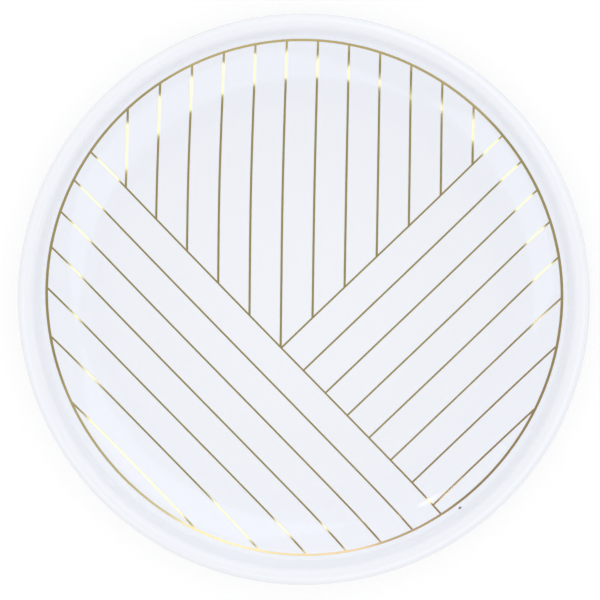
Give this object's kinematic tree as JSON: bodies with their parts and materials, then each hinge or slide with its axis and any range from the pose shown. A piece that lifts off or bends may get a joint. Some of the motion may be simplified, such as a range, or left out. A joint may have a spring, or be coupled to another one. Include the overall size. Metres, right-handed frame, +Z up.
{
  "type": "ring dish",
  "caption": "Low round porcelain ring dish with an upright rounded rim, a plain foot ring, and fine gold stripes and a gold border line inside.",
  "frame": {"origin": "middle of the plane that the foot ring rests on", "axes": "+Z up out of the dish; +Y the way that the upright stripes point from the meeting point of the stripes; +X to the right with the stripes upright"},
  "size_m": [0.11, 0.11, 0.018],
  "materials": {
    "porcelain": "fired bisque porcelain, matt and slightly sandy on the bare foot",
    "glaze": "glossy clear white glaze",
    "gold": "fired gold lustre, bright"
  },
  "bodies": {
    "root": {"base_glaze": "glaze", "border_line": "gold", "dish_glaze": "glaze", "falling_stripe_01": "gold", "falling_stripe_02": "gold", "falling_stripe_03": "gold", "falling_stripe_04": "gold", "falling_stripe_05": "gold", "falling_stripe_06": "gold", "falling_stripe_07": "gold", "left_upright_stripe_01": "gold", "left_upright_stripe_02": "gold", "left_upright_stripe_03": "gold", "left_upright_stripe_04": "gold", "left_upright_stripe_05": "gold", "left_upright_stripe_06": "gold", "porcelain_body": "porcelain", "right_upright_stripe_01": "gold", "right_upright_stripe_02": "gold", "right_upright_stripe_03": "gold", "right_upright_stripe_04": "gold", "right_upright_stripe_05": "gold", "right_upright_stripe_06": "gold", "rising_stripe_01": "gold", "rising_stripe_02": "gold", "rising_stripe_03": "gold", "rising_stripe_04": "gold", "rising_stripe_05": "gold", "rising_stripe_06": "gold", "rising_stripe_07": "gold", "rising_stripe_08": "gold"}
  },
  "joints": []
}
